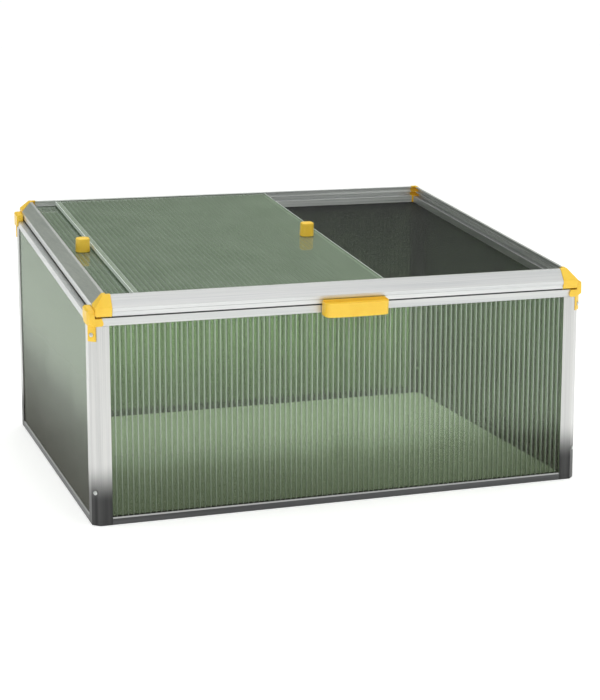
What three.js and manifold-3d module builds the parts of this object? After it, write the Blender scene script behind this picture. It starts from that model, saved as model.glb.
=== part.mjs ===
// Cold frame: a bottomless aluminium box glazed with twin-wall sheet, under a sloping lid that hinges at
// the rear. Two glazed sheets slide sideways in the lid, over an insect net that closes it.
// Millimetres, +Z up, +Y to the rear. The origin is on the ground, under the middle of the whole object.
//
// The walls are modelled from the front left corner of the box: x runs along the front, y to the rear and
// z up. The roof frame is that frame moved to the top of the front wall and tilted by the slope: s runs up
// the slope to the rear and n points out of the roof, and n = 0 is the top plane of the walls.

import * as THREE from "three";
import { mergeGeometries, mergeVertices } from "three/addons/utils/BufferGeometryUtils.js";
import Module from "manifold-3d";

const wasm = await Module();
wasm.setup();

// ---- Driving dimensions ----

const width = 1030; // outside of the left wall to outside of the right wall
const depth = 835; // outside of the front wall to outside of the rear wall
const frontHeight = 405; // ground to the top of the front wall
const slope = THREE.MathUtils.degToRad(6); // of the roof, down to the front
const gap = 0.3; // between pieces that touch or fit into each other

const sheetThickness = 8; // twin-wall sheet
const cellPitch = 11;
const skin = 0.6;
const rib = 0.5;

const wall = 2; // of the aluminium extrusions
const slot = sheetThickness + 2 * gap; // that a wall sheet stands in
const channelDepth = slot + 2 * wall; // of a rail, and of a post's arms, from outside to inside
const railHeight = 15;
const railBevel = 2.8; // height of the slanted top of a bottom rail's outer wall

const postArm = 38; // outer corner to the end of an arm
const postBody = 24; // outer corner to the bottom of an arm's slot
const postChamfer = 13.5; // cut off the outer corner
const slotBite = 1.3; // a sheet's edge stays this far from the bottom of its slot

const screwRadius = 2;
const screwHeadRadius = 4.2;
const screwHeadHeight = 2.4;
const topScrewDrop = 31; // top of the walls to the upper screw
const lowScrewHeight = 65; // ground to the lower screw
const nutWidth = 7;
const nutHeight = 3.2;
const clampPlate = { width: 18, height: 22, thickness: 1.5, play: 0.5 };

const bracketCover = 3.5; // how far a corner bracket stands proud of the front or rear wall
const strap = { width: 17, length: 26, thickness: 3 };
const tongue = { length: 2.5, corner: 3, tip: 8 }; // past the post's body, in front of the top rail
const ear = { proud: 4, end: 42, bottom: -13, top: 15.5, nose: 6, crown: 3.5, corner: 8 };
const plugLength = 18; // of the bracket's peg in the post
const plugPlay = 0.5;
const plugCornerPlay = 3.5; // peg to the post's inner chamfer wall, for the screw's tip
const pinRadius = 3;
const pinHeight = 9; // top plane of the walls to the axis of the hinge pins
const pinSetback = 6; // lid's outer face to the axis of the hinge pins
const pinReach = 8; // length of a pin inside the lid

const lidInset = 12; // side wall's outer face to the lid's outer face
const lidOverhang = 4; // of the lid's outer face beyond the front and rear walls, along the slope
const lidBottom = 3.5; // top of the walls to the underside of the lid
const capSize = 31; // a corner cap's side
const capProud = 1.5; // of the caps and of the bead along the profiles
const trackPlay = 0.5; // over and under a sliding sheet

const slidingWidth = 512; // of each sliding sheet
const upperSheetRest = 90; // left wall's outer face to the upper sheet's left edge
const knob = { width: 30, depth: 24, height: 28, fromFront: 395 };
const lowerKnobInset = 39; // lower sheet's left edge to its knob
const upperKnobInset = 38; // upper sheet's right edge to its knob
const netThickness = 0.6;
const seal = { from: 3, to: 9, thickness: 2.5, drop: 8, clear: 3.6 };
const handle = {
  centre: 528, // left wall's outer face to its middle
  width: 133,
  depth: 28,
  height: 28,
  drop: 18, // top of the walls to its lower edge
  thickness: 3.5,
  corner: 14,
  bow: 4,
};
const handleLug = { spread: 42, width: 12, height: 2.4, hook: 1.4 };

// ---- Derived dimensions ----

const roofLength = depth / Math.cos(slope);
const rearHeight = frontHeight + depth * Math.tan(slope);
const rearRailTop = rearHeight - channelDepth * Math.tan(slope);
const frontPostTop = frontHeight - railHeight - gap;
const rearPostTop = rearHeight - postArm * Math.tan(slope) - railHeight / Math.cos(slope) - gap;
const railStart = postBody + gap; // where the top rails start, beside the brackets

const lidLeft = lidInset;
const lidRight = width - lidInset;
const lidFront = -lidOverhang;
const lidRear = roofLength + lidOverhang;

// Levels and depths inside the lid profile. u runs inwards from the lid's outer face.
const track = sheetThickness + 2 * trackPlay;
const web = 2.2;
const lowerTrack = 19.2;
const upperTrack = lowerTrack + track + web;
const lidTop = upperTrack + track + web;
const lipEnd = 23; // of the lips over and between the tracks
const lowerTrackBack = 14;
const upperTrackBack = 16.5;
const footEnd = 28; // of the hollow foot under the tracks
const slopeFoot = 22; // n where the profile's sloping face starts
const slopeEnd = 17; // u where it meets the top lip
const bead = { from: 12, to: slopeFoot };
const footBevel = 1; // of the profile's lower outer edge
const splineGroove = { from: 21, to: 26, top: 7.5 };
const sheetEdge = upperTrackBack + gap + 0.2; // u of the sliding sheets' front and rear edges

// ---- Materials ----

function finish(name, color, roughness, metalness, opacity = 1) {
  const transparent = opacity < 1;
  return new THREE.MeshStandardMaterial({ name, color, roughness, metalness, opacity, transparent });
}
const aluminium = finish("aluminium", 0xd3d5d6, 0.35, 1);
const twinWall = finish("twin_wall", 0xa9b5a6, 0.2, 0, 0.4);
const yellowPlastic = finish("yellow_plastic", 0xf6c82c, 0.45, 0);
const steel = finish("zinc_steel", 0xb9bcbd, 0.4, 1);
const netFabric = finish("net", 0x2f332f, 0.9, 0);
const rubber = finish("rubber", 0x1e1f20, 0.8, 0);

// ---- Shapes ----

// A closed outline, from [x, y] pairs in either direction, with holes given the same way.
function outline(points, holes = []) {
  const loop = (pairs) => pairs.map(([x, y]) => new THREE.Vector2(x, y));
  const edge = loop(points);
  const shape = new THREE.Shape(THREE.ShapeUtils.isClockWise(edge) ? edge.reverse() : edge);
  shape.holes = holes.map((hole) => new THREE.Path(loop(hole)));
  return shape;
}

// The outline raised from z = from to z = to.
function prism(shape, from, to) {
  const settings = { depth: to - from, bevelEnabled: false, curveSegments: 6 };
  return new THREE.ExtrudeGeometry(shape, settings).translate(0, 0, from);
}

function box([x0, x1], [y0, y1], [z0, z1]) {
  const middle = [(x0 + x1) / 2, (y0 + y1) / 2, (z0 + z1) / 2];
  return new THREE.BoxGeometry(Math.abs(x1 - x0), Math.abs(y1 - y0), Math.abs(z1 - z0)).translate(...middle);
}

// The outline's x and y laid along the axes inward and up, and raised along their cross product from start.
function alongAxes(shape, start, inward, up, length) {
  const along = new THREE.Vector3().crossVectors(inward, up);
  const matrix = new THREE.Matrix4().makeBasis(inward, up, along).setPosition(start);
  return prism(shape, 0, length).applyMatrix4(matrix);
}

// A round bar between two points.
function bar(from, to, radius, sides = 12) {
  const direction = to.clone().sub(from);
  const turn = new THREE.Quaternion().setFromUnitVectors(Y, direction.clone().normalize());
  const middle = from.clone().add(to).multiplyScalar(0.5);
  return new THREE.CylinderGeometry(radius, radius, direction.length(), sides)
    .applyQuaternion(turn)
    .translate(middle.x, middle.y, middle.z);
}

const X = new THREE.Vector3(1, 0, 0);
const Y = new THREE.Vector3(0, 1, 0);
const Z = new THREE.Vector3(0, 0, 1);
const roofFrame = new THREE.Matrix4().makeRotationX(slope).setPosition(0, 0, frontHeight);

// Everything between two levels of the roof frame, in the walls' frame.
const roofLayer = (n0, n1) => box([-width, 2 * width], [-depth, 2 * depth], [n0, n1]).applyMatrix4(roofFrame);

// ---- Joining and cutting ----

function solid(geometry) {
  const bare = new THREE.BufferGeometry();
  bare.setAttribute("position", geometry.getAttribute("position"));
  bare.setIndex(geometry.getIndex());
  const merged = mergeVertices(bare, 1e-4);
  const vertProperties = merged.getAttribute("position").array;
  const triVerts = new Uint32Array(merged.getIndex().array);
  return new wasm.Manifold(new wasm.Mesh({ numProp: 3, vertProperties, triVerts }));
}

function geometryOf(manifold) {
  const mesh = manifold.getMesh();
  const geometry = new THREE.BufferGeometry();
  geometry.setAttribute("position", new THREE.BufferAttribute(new Float32Array(mesh.vertProperties), 3));
  geometry.setIndex(new THREE.BufferAttribute(new Uint32Array(mesh.triVerts), 1));
  return geometry;
}

const joined = (...geometries) => geometries.map(solid).reduce((a, b) => a.add(b));
const cut = (body, ...geometries) => geometries.map(solid).reduce((a, b) => a.subtract(b), body);

// ---- The tree ----

const coldFrame = new THREE.Group();
const walls = new THREE.Group();
const roof = new THREE.Group();
roof.applyMatrix4(roofFrame);
coldFrame.add(walls, roof);

function piece(parent, name, body, material) {
  const geometry = body.isBufferGeometry ? body : geometryOf(body);
  const mesh = new THREE.Mesh(geometry, material);
  mesh.name = name;
  parent.add(mesh);
  return mesh;
}

// The four corners: a is the distance inwards from the side wall's outer face and b that from the front or
// rear wall's, so one description makes all four corner pieces.
const corners = [
  { name: "front_left", left: true, front: true },
  { name: "front_right", left: false, front: true },
  { name: "rear_left", left: true, front: false },
  { name: "rear_right", left: false, front: false },
].map((corner) => ({
  ...corner,
  x: (a) => (corner.left ? a : width - a),
  y: (b) => (corner.front ? b : depth - b),
  s: (b) => (corner.front ? b : roofLength - b),
  lidX: (a) => (corner.left ? lidLeft + a : lidRight - a),
  lidS: (b) => (corner.front ? lidFront + b : lidRear - b),
  wallTop: corner.front ? frontHeight : rearHeight,
  postTop: corner.front ? frontPostTop : rearPostTop,
}));

const inPlan = (corner, points) => points.map(([a, b]) => [corner.x(a), corner.y(b)]);

// A point of the corner's diagonal: out from the outer corner by far, aside from the diagonal by aside.
const diagonal = (far, aside = 0) => [(far + aside) / Math.SQRT2, (far - aside) / Math.SQRT2];

function diagonalPoint(corner, far, z) {
  const [a, b] = diagonal(far);
  return new THREE.Vector3(corner.x(a), corner.y(b), z);
}

const chamferFar = postChamfer / Math.SQRT2; // outer corner to the post's chamfer
const plateSeat = clampPlate.width + 2 * clampPlate.play; // width of the post's inner chamfer
const innerSum = 2 * channelDepth + plateSeat / Math.SQRT2; // a + b on that chamfer
const innerFar = innerSum / Math.SQRT2;
const screwHole = screwRadius + gap;

// ---- Posts ----

function postOutline(corner) {
  const near = wall + slot;
  const shoulder = innerSum - channelDepth;
  const half = [
    [postChamfer, 0],
    [postArm, 0],
    [postArm, wall],
    [postBody, wall],
    [postBody, near],
    [postArm, near],
    [postArm, channelDepth],
    [shoulder, channelDepth],
  ];
  const otherHalf = half.map(([a, b]) => [b, a]).reverse();
  return outline(inPlan(corner, [...half, ...otherHalf]));
}

function postHollow(corner) {
  const inside = postBody - wall;
  const outerSum = postChamfer + wall * Math.SQRT2;
  const innerLine = innerSum - wall * Math.SQRT2;
  const hollow = [
    [outerSum - wall, wall],
    [inside, wall],
    [inside, innerLine - inside],
    [innerLine - inside, inside],
    [wall, inside],
    [wall, outerSum - wall],
  ];
  return outline(inPlan(corner, hollow));
}

function screwBore(corner, z) {
  return bar(diagonalPoint(corner, 0, z), diagonalPoint(corner, 2 * innerFar, z), screwHole);
}

function addPost(corner) {
  const post = solid(prism(postOutline(corner), 0, corner.postTop));
  const hollow = prism(postHollow(corner), -1, corner.postTop + 1);
  const bores = [corner.wallTop - topScrewDrop, lowScrewHeight].map((z) => screwBore(corner, z));
  piece(walls, corner.name + "_post", cut(post, hollow, ...bores), aluminium);
}

// ---- Screws, nuts and clamp plates ----

// A pan head screw from its head's underside to its tip.
function screw(under, tip) {
  const out = under.clone().sub(tip).normalize();
  const round = under.clone().addScaledVector(out, screwHeadHeight / 2);
  const face = under.clone().addScaledVector(out, screwHeadHeight);
  const crown = bar(under, face, screwHeadRadius * 0.72);
  return joined(bar(under, round, screwHeadRadius), crown, bar(round, tip, screwRadius, 8));
}

function addWallScrew(corner, z, headFar, plate, label) {
  const seat = innerFar + gap;
  const nutFar = plate ? seat + clampPlate.thickness : seat;
  const tipFar = nutFar + nutHeight + 2;
  const body = screw(diagonalPoint(corner, headFar, z), diagonalPoint(corner, tipFar, z));
  piece(walls, corner.name + label + "_screw", body, steel);

  const bore = screwBore(corner, z);
  const nutRadius = nutWidth / Math.sqrt(3);
  const nutBase = diagonalPoint(corner, plate ? nutFar - clampPlate.thickness / 2 : nutFar, z);
  const nut = bar(nutBase, diagonalPoint(corner, nutFar + nutHeight, z), nutRadius, 6);
  if (!plate) {
    piece(walls, corner.name + label + "_nut", cut(solid(nut), bore), steel);
    return;
  }
  const half = clampPlate.width / 2;
  const plan = [
    diagonal(seat, -half),
    diagonal(seat, half),
    diagonal(nutFar, half),
    diagonal(nutFar, -half),
  ];
  const flat = prism(outline(inPlan(corner, plan)), z - clampPlate.height / 2, z + clampPlate.height / 2);
  piece(walls, corner.name + label + "_nut_plate", cut(joined(flat, nut), bore), steel);
}

// ---- Rails ----

const channelUp = outline([
  [0, 0],
  [channelDepth, 0],
  [channelDepth, railHeight],
  [channelDepth - wall, railHeight],
  [channelDepth - wall, wall],
  [wall, wall],
  [wall, railHeight],
  [0, railHeight - railBevel],
]);
const channelDown = outline([
  [0, 0],
  [wall, 0],
  [wall, railHeight - wall],
  [wall + slot, railHeight - wall],
  [wall + slot, 0],
  [channelDepth, 0],
  [channelDepth, railHeight],
  [0, railHeight],
]);

function addFrontAndRearRails() {
  const ends = [
    { name: "front", y: 0, inward: Y, top: frontHeight },
    { name: "rear", y: depth, inward: Y.clone().negate(), top: rearRailTop },
  ];
  for (const { name, y, inward, top } of ends) {
    const startX = (inset) => (y === 0 ? inset : width - inset);
    const low = new THREE.Vector3(startX(postArm + gap), y, 0);
    const lowLength = width - 2 * (postArm + gap);
    piece(walls, name + "_bottom_rail", alongAxes(channelUp, low, inward, Z, lowLength), aluminium);
    const high = new THREE.Vector3(startX(railStart), y, top - railHeight);
    const highLength = width - 2 * railStart;
    piece(walls, name + "_top_rail", alongAxes(channelDown, high, inward, Z, highLength), aluminium);
  }
}

function addSideRails() {
  const sides = [
    { name: "left", x: 0, inward: X, start: (front, rear) => rear },
    { name: "right", x: width, inward: X.clone().negate(), start: (front) => front },
  ];
  const inset = postArm + gap;
  const lowEnds = [inset, depth - inset];
  const highEnds = [railStart, roofLength - railStart - railHeight * Math.tan(slope)];
  for (const { name, x, inward, start } of sides) {
    const low = new THREE.Vector3(x, start(...lowEnds), 0);
    const lowLength = lowEnds[1] - lowEnds[0];
    piece(walls, name + "_bottom_rail", alongAxes(channelUp, low, inward, Z, lowLength), aluminium);
    const high = new THREE.Vector3(x, start(...highEnds), -railHeight);
    const highLength = highEnds[1] - highEnds[0];
    piece(roof, name + "_top_rail", alongAxes(channelDown, high, inward, Z, highLength), aluminium);
  }
}

// ---- Twin-wall sheets ----

// A sheet of two skins joined by ribs, with open cells between them. Its length lies along x, its
// thickness along y, and its cells along z.
function twinWallSheet(length, from, to) {
  const cells = Math.round(length / cellPitch);
  const pitch = (length - rib) / cells;
  const inner = [skin, sheetThickness - skin];
  const hollows = [];
  for (let i = 0; i < cells; i++) {
    hollows.push(box([i * pitch + rib, (i + 1) * pitch], inner, [from - 1, to + 1]));
  }
  const block = box([0, length], [0, sheetThickness], [from, to]);
  return cut(solid(block), mergeGeometries(hollows));
}

// A solid turned and moved so that its x, y and z lie along the given axes from start.
function placed(body, start, along, across) {
  const last = new THREE.Vector3().crossVectors(along, across);
  const matrix = new THREE.Matrix4().makeBasis(along, across, last).setPosition(start);
  return body.transform(matrix.toArray());
}

function addWallSheets() {
  const inset = postBody + slotBite;
  const bottom = wall + gap;
  const across = width - 2 * inset;
  for (const [name, y, top] of [
    ["front", wall + gap, frontHeight - wall - gap],
    ["rear", depth - wall - gap - sheetThickness, rearRailTop - wall - gap],
  ]) {
    const sheet = twinWallSheet(across, bottom, top).translate([inset, y, 0]);
    piece(walls, name + "_wall_sheet", sheet, twinWall);
  }
  const along = depth - 2 * inset;
  const above = roofLayer(-wall - gap, rearHeight);
  for (const [name, x] of [
    ["left", wall + gap],
    ["right", width - wall - gap - sheetThickness],
  ]) {
    const start = new THREE.Vector3(x + sheetThickness, inset, 0);
    const sheet = placed(twinWallSheet(along, bottom, rearHeight), start, Y, X.clone().negate());
    piece(walls, name + "_wall_sheet", cut(sheet, above), twinWall);
  }
}

// ---- Corner brackets ----

const coverFar = chamferFar - gap - strap.thickness; // outer corner to the strap's face
const earInner = lidInset - capProud - gap; // the ear's side that faces the lid

// An outline of the corner's [a, n] pairs, raised along the slope over the corner's length from b0 to b1.
function alongSlope(corner, pairs, b0, b1) {
  const start = new THREE.Vector3(0, Math.max(corner.s(b0), corner.s(b1)), 0);
  return alongAxes(outline(pairs.map(([a, n]) => [corner.x(a), n])), start, X, Z, Math.abs(b1 - b0));
}

// An outline of the corner's [b, n] pairs, raised across the slope from a0 to a1.
function acrossSlope(corner, pairs, a0, a1) {
  const start = new THREE.Vector3(Math.min(corner.x(a0), corner.x(a1)), 0, 0);
  return alongAxes(outline(pairs.map(([b, n]) => [corner.s(b), n])), start, Y, Z, Math.abs(a1 - a0));
}

// The ear beside the lid, which carries the pin.
function bracketEar(corner, floor, ceiling) {
  const { proud, end, bottom, top, nose, crown, corner: clip } = ear;
  const plan = [
    [-proud, end],
    [-proud, nose],
    [0, -bracketCover],
    [earInner, -bracketCover],
    [earInner, end],
  ];
  const body = solid(prism(outline(inPlan(corner, plan)), floor, ceiling));
  const front = -bracketCover - 4;
  const frontClip = [
    [front, top + 1],
    [front, top - clip],
    [-bracketCover, top - clip],
    [-bracketCover + clip, top],
    [-bracketCover + clip, top + 1],
  ];
  const underClip = [
    [postBody, bottom - 30],
    [end - clip, bottom - 30],
    [end - clip, bottom],
    [end, bottom + clip],
    [end + 4, bottom + clip],
    [end + 4, bottom - 40],
    [postBody, bottom - 40],
  ];
  const crownClip = [
    [-proud - 1, top + 1],
    [-proud - 1, top - crown],
    [-proud, top - crown],
    [-proud + crown, top],
    [-proud + crown, top + 1],
  ];
  const behind = [corner.s(postBody - 4), corner.s(end + 4)];
  const cuts = [
    acrossSlope(corner, frontClip, -proud - 2, earInner + 2),
    acrossSlope(corner, underClip, -proud - 2, earInner + 2),
    alongSlope(corner, crownClip, front, end + 4),
    box([corner.x(-gap), corner.x(2 * lidInset)], behind, [-99, gap]),
    box([corner.x(-proud - 1), corner.x(2 * lidInset)], behind, [-99, bottom]),
  ];
  return cut(body, roofLayer(top, rearHeight), ...cuts.map((each) => each.applyMatrix4(roofFrame)));
}

// The block over the end of the post, with its tongue in front of the top rail.
function bracketBlock(corner, floor, ceiling) {
  const plan = [
    [0, -bracketCover],
    [postBody, -bracketCover],
    [postBody, postBody],
    [-ear.proud, postBody],
    [-ear.proud, ear.nose],
  ];
  const reach = postBody + tongue.length;
  const tongueShape = outline(
    [
      [postBody - 5, floor],
      [reach - tongue.corner, floor],
      [reach, floor + tongue.corner],
      [reach, corner.wallTop - tongue.tip],
      [postBody - 1, corner.wallTop + 1],
      [postBody - 5, corner.wallTop + 1],
    ].map(([a, z]) => [corner.x(a), z]),
  );
  const from = Math.max(corner.y(-bracketCover), corner.y(-gap));
  const plate = alongAxes(tongueShape, new THREE.Vector3(0, from, 0), X, Z, bracketCover - gap);
  const block = joined(prism(outline(inPlan(corner, plan)), floor, ceiling), plate);
  return cut(block, roofLayer(0, rearHeight));
}

// The strap down the post's slanting face, and the peg inside the post behind it.
function bracketStrap(corner, floor, screwZ) {
  const half = strap.width / 2;
  const strapPlan = [
    diagonal(coverFar, -half),
    diagonal(coverFar, half),
    diagonal(chamferFar - gap, half),
    diagonal(chamferFar - gap, -half),
  ];
  const strapBody = prism(outline(inPlan(corner, strapPlan)), screwZ - strap.length / 2, floor + 1);
  const inside = postBody - wall - plugPlay;
  const clear = wall + plugPlay;
  const slant = postChamfer + wall + plugPlay;
  const far = innerSum - wall * Math.SQRT2 - plugCornerPlay;
  const plugPlan = [
    [inside, clear],
    [inside, far - inside],
    [far - inside, inside],
    [clear, inside],
    [clear, slant],
    [slant, clear],
  ];
  return joined(strapBody, prism(outline(inPlan(corner, plugPlan)), screwZ - plugLength / 2, floor + 1));
}

// The slanting undersides that narrow the block to the strap.
function underCuts(corner, floor) {
  const spread = 40;
  const rise = ear.proud + 1;
  const outwards = new THREE.Vector3().subVectors(diagonalPoint(corner, 0, 0), diagonalPoint(corner, 1, 0));
  const wedge = outline([
    [-coverFar, floor - 1],
    [-coverFar, floor],
    [spread, floor + (spread + coverFar) * 0.8],
    [spread, floor - 1],
  ]);
  const along = new THREE.Vector3().crossVectors(outwards, Z);
  const start = diagonalPoint(corner, 0, 0).addScaledVector(along, -spread);
  const front = alongAxes(wedge, start, outwards, Z, 2 * spread);
  const side = outline(
    [
      [-0.01, floor - 1],
      [-0.01, floor],
      [-rise, floor + rise],
      [-rise, floor - 1],
    ].map(([a, z]) => [corner.x(a), z]),
  );
  const ends = [corner.y(-10), corner.y(ear.end + 10)];
  const sideCut = alongAxes(side, new THREE.Vector3(0, Math.max(...ends), 0), X, Z, ear.end + 20);
  return [front, sideCut];
}

function addBracket(corner) {
  const floor = corner.postTop + gap;
  const ceiling = corner.wallTop + 30;
  const screwZ = corner.wallTop - topScrewDrop;
  const pinAt = corner.lidS(pinSetback);
  const pinEnd = (a) => new THREE.Vector3(corner.x(a), pinAt, pinHeight).applyMatrix4(roofFrame);
  const pin = solid(bar(pinEnd(1), pinEnd(lidInset + pinReach), pinRadius, 16));
  const upper = bracketBlock(corner, floor, ceiling).add(bracketEar(corner, floor, ceiling));
  const shaped = cut(upper, ...underCuts(corner, floor));
  const whole = shaped.add(bracketStrap(corner, floor, screwZ)).add(pin);
  piece(walls, corner.name + "_bracket", cut(whole, screwBore(corner, screwZ)), yellowPlastic);
}

// ---- Lid profiles ----

const slopeRise = lidTop - slopeFoot;
const slopeWall = wall * 0.8 * Math.hypot(slopeEnd, slopeRise) / slopeRise; // across, along u
const chamberLevel = (u) => slopeFoot + ((u - slopeWall) * slopeRise) / slopeEnd;
const lidOutline = outline(
  [
    [footBevel, lidBottom],
    [0, lidBottom + footBevel],
    [0, bead.from],
    [-capProud, bead.from + capProud],
    [-capProud, bead.to - capProud],
    [0, bead.to],
    [slopeEnd, lidTop],
    [lipEnd, lidTop],
    [lipEnd, lidTop - web],
    [upperTrackBack, lidTop - web],
    [upperTrackBack, upperTrack],
    [lipEnd, upperTrack],
    [lipEnd, upperTrack - web],
    [lowerTrackBack, upperTrack - web],
    [lowerTrackBack, lowerTrack],
    [footEnd, lowerTrack],
    [footEnd, lidBottom],
    [splineGroove.to, lidBottom],
    [splineGroove.to, splineGroove.top],
    [splineGroove.from, splineGroove.top],
    [splineGroove.from, lidBottom],
  ],
  [
    [
      [wall, lidBottom + wall],
      [splineGroove.from - wall, lidBottom + wall],
      [splineGroove.from - wall, splineGroove.top + wall],
      [footEnd - wall, splineGroove.top + wall],
      [footEnd - wall, lowerTrack - wall],
      [lowerTrackBack - wall, lowerTrack - wall],
      [lowerTrackBack - wall, chamberLevel(lowerTrackBack - wall)],
      [wall, chamberLevel(wall)],
    ],
  ],
);

function addLidProfiles() {
  const inset = capSize + gap;
  const across = lidRight - lidLeft - 2 * inset;
  const along = lidRear - lidFront - 2 * inset;
  const runs = [
    ["front", lidLeft + inset, lidFront, Y, across],
    ["rear", lidRight - inset, lidRear, Y.clone().negate(), across],
    ["left", lidLeft, lidRear - inset, X, along],
    ["right", lidRight, lidFront + inset, X.clone().negate(), along],
  ];
  for (const [name, x, s, inward, length] of runs) {
    const body = solid(alongAxes(lidOutline, new THREE.Vector3(x, s, 0), inward, Z, length));
    const shaped = name === "front" ? cut(body, ...handleSlots()) : body;
    piece(roof, "lid_" + name + "_profile", shaped, aluminium);
  }
}

// ---- Lid corner caps ----

function addCap(corner) {
  const big = capSize + 1;
  const capTop = lidTop + 1;
  const side = [
    [0.5, lidBottom],
    [capSize, lidBottom],
    [capSize, capTop],
    [slopeEnd - 0.6, capTop],
    [-capProud, slopeFoot],
    [-capProud, lidBottom + 3],
  ];
  const length = capSize + capProud;
  const startX = Math.min(corner.lidX(-capProud), corner.lidX(capSize));
  const alongX = outline(side.map(([b, n]) => [corner.lidS(b), n]));
  const runX = alongAxes(alongX, new THREE.Vector3(startX, 0, 0), Y, Z, length);
  const startS = Math.max(corner.lidS(-capProud), corner.lidS(capSize));
  const alongS = outline(side.map(([a, n]) => [corner.lidX(a), n]));
  const runS = alongAxes(alongS, new THREE.Vector3(0, startS, 0), X, Z, length);
  const mitred = solid(runX).intersect(solid(runS));

  // Square cuts that open the corner inwards from a depth, over a range of levels.
  const inwards = (from, n0, n1) =>
    box([corner.lidX(from), corner.lidX(big)], [corner.lidS(from), corner.lidS(big)], [n0, n1]);
  const spline = cut(
    solid(inwards(splineGroove.from, 0, splineGroove.top)),
    inwards(splineGroove.to, -1, lidTop),
  );
  const pinSlot = pinRadius + 0.4;
  const slotA = [corner.lidX(-capProud - 1), corner.lidX(pinReach + 1.5)];
  const slotB = [corner.lidS(pinSetback - pinSlot), corner.lidS(pinSetback + pinSlot)];
  const pinEnd = (x) => new THREE.Vector3(x, corner.lidS(pinSetback), pinHeight);
  const opened = cut(
    mitred,
    inwards(lipEnd, lowerTrack, capTop + 1),
    inwards(upperTrackBack, upperTrack, lidTop - web),
    inwards(lowerTrackBack, lowerTrack, upperTrack - web),
    inwards(footEnd, 0, capTop + 1),
    box(slotA, slotB, [0, pinHeight]),
    bar(pinEnd(slotA[0]), pinEnd(slotA[1]), pinSlot, 16),
  ).subtract(spline);

  // Pegs that hold the cap in the hollow profiles.
  const pegAcross = [lidBottom + wall + 1.2, lowerTrack - wall - 2];
  const pegDepth = [wall + 1.2, wall + 9];
  const pegLength = [capSize - 2, capSize + 14];
  const pegX = box(pegLength.map(corner.lidX), pegDepth.map(corner.lidS), pegAcross);
  const pegS = box(pegDepth.map(corner.lidX), pegLength.map(corner.lidS), pegAcross);
  piece(roof, "lid_" + corner.name + "_cap", opened.add(solid(pegX)).add(solid(pegS)), yellowPlastic);
}

// ---- Sliding sheets and their knobs ----

function roundedBlock(w, d, h) {
  const radius = d * 0.36;
  const plan = new THREE.Shape();
  const x = w / 2 - radius;
  const y = d / 2 - radius;
  plan.absarc(x, y, radius, 0, Math.PI / 2, false);
  plan.absarc(-x, y, radius, Math.PI / 2, Math.PI, false);
  plan.absarc(-x, -y, radius, Math.PI, 1.5 * Math.PI, false);
  plan.absarc(x, -y, radius, 1.5 * Math.PI, 2 * Math.PI, false);
  const dome = 3;
  return new THREE.ExtrudeGeometry(plan, {
    depth: h - dome,
    bevelEnabled: true,
    bevelThickness: dome,
    bevelSize: dome,
    bevelOffset: -dome,
    bevelSegments: 3,
    curveSegments: 5,
  });
}

function addSlidingSheet(name, left, level, knobX) {
  const from = lidFront + sheetEdge;
  const to = lidRear - sheetEdge;
  const start = new THREE.Vector3(left, to, level);
  const flat = placed(twinWallSheet(slidingWidth, 0, to - from), start, X, Z);
  const at = (n) => new THREE.Vector3(knobX, knob.fromFront, n);
  const bore = bar(at(level - 1), at(level + sheetThickness + 1), screwHole);
  piece(roof, name + "_sliding_sheet", cut(flat, bore), twinWall);

  const foot = level + sheetThickness + gap;
  const body = roundedBlock(knob.width, knob.depth, knob.height);
  body.translate(knobX, knob.fromFront, foot + 3);
  const low = box([-width, 2 * width], [-depth, 2 * depth], [-rearHeight, foot]);
  const pocket = bar(at(foot - 1), at(foot + 12), screwHole);
  piece(roof, name + "_knob", cut(solid(body), low, pocket), yellowPlastic);

  const head = joined(
    bar(at(level - gap - 1.2), at(level - gap), screwHeadRadius),
    bar(at(level - gap - 0.5), at(foot + 11), screwRadius, 8),
  );
  piece(roof, name + "_knob_screw", head, steel);
}

function addSlidingSheets() {
  const lowerLeft = lidLeft + sheetEdge;
  addSlidingSheet("lower", lowerLeft, lowerTrack + trackPlay, lowerLeft + lowerKnobInset);
  const upperKnob = upperSheetRest + slidingWidth - upperKnobInset;
  addSlidingSheet("upper", upperSheetRest, upperTrack + trackPlay, upperKnob);
}

// ---- Insect net and the spline that holds it ----

function addNet() {
  const inset = (splineGroove.from + splineGroove.to) / 2;
  const top = lidBottom - gap;
  const across = [lidLeft + inset, lidRight - inset];
  const along = [lidFront + inset, lidRear - inset];
  piece(roof, "insect_net", box(across, along, [top - netThickness, top]), netFabric);

  const from = splineGroove.from + gap;
  const to = splineGroove.to - gap;
  const level = [lidBottom, splineGroove.top - gap];
  const acrossRun = [lidLeft + from, lidRight - from];
  const alongRun = [lidFront + to + gap, lidRear - to - gap];
  const runs = [
    ["front", acrossRun, [lidFront + from, lidFront + to]],
    ["rear", acrossRun, [lidRear - to, lidRear - from]],
    ["left", [lidLeft + from, lidLeft + to], alongRun],
    ["right", [lidRight - to, lidRight - from], alongRun],
  ];
  for (const [name, x, s] of runs) {
    piece(roof, name + "_net_spline", box(x, s, level), rubber);
  }
}

// ---- Seals between the lid and the walls ----

// The front and rear seals lie under the profiles on the rails; the side ones hang inside the rails.
function addSeals() {
  const level = [gap + 0.1, lidBottom - gap];
  const inset = capSize + 2 * gap;
  const across = [lidLeft + inset, lidRight - inset];
  const end = postBody + seal.clear;
  const along = [end, roofLength - end];
  piece(roof, "front_lid_seal", box(across, [lidFront + seal.from, lidFront + seal.to], level), rubber);
  piece(roof, "rear_lid_seal", box(across, [lidRear - seal.to, lidRear - seal.from], level), rubber);
  const from = channelDepth + gap;
  const blade = [from, from + seal.thickness];
  const drop = [-seal.drop, lidBottom - gap];
  piece(roof, "left_lid_seal", box(blade, along, drop), rubber);
  piece(roof, "right_lid_seal", box(blade.map((x) => width - x), along, drop), rubber);
}

// ---- Handle ----

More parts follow.
